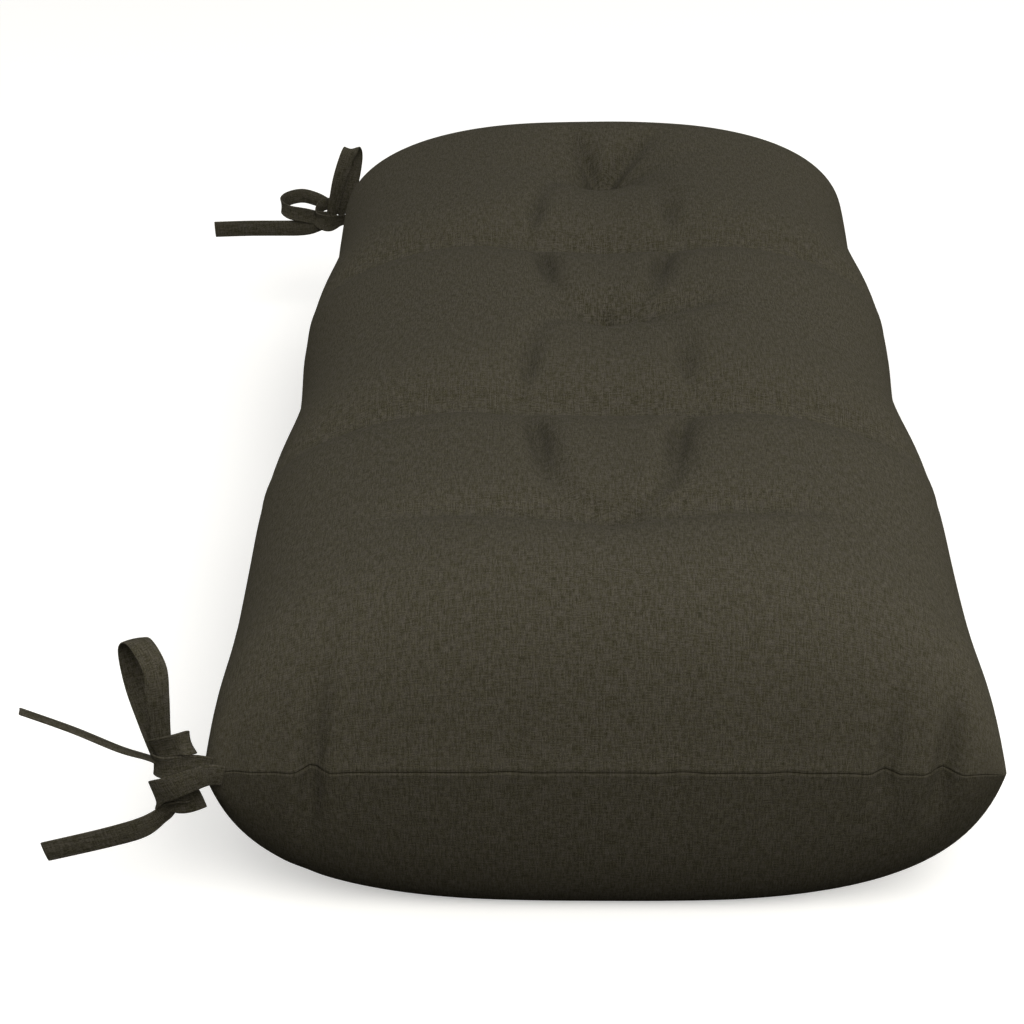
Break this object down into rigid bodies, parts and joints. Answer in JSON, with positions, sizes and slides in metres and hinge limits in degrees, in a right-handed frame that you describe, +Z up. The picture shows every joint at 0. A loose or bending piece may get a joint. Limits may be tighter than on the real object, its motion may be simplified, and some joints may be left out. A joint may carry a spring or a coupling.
{
  "type": "bench cushion",
  "caption": "Thick filled bench cushion of dark linen-like cloth, tufted along its middle and sewn with a plain seam, with a knotted strap tie at each corner of one long side.",
  "frame": {"origin": "on the surface under the middle of the cushion, where its underside rests", "axes": "+Z up through the tufted face, +Y along the cushion from the near end to the far end, +X across it away from the long side with the ties"},
  "size_m": [0.6402, 1.0331, 0.2466],
  "materials": {
    "cloth": "matt linen-like plain weave, dark olive grey with lighter and darker yarns"
  },
  "bodies": {
    "root": {"cushion": "cloth", "tie_near": "cloth", "tie_far": "cloth"}
  },
  "joints": []
}
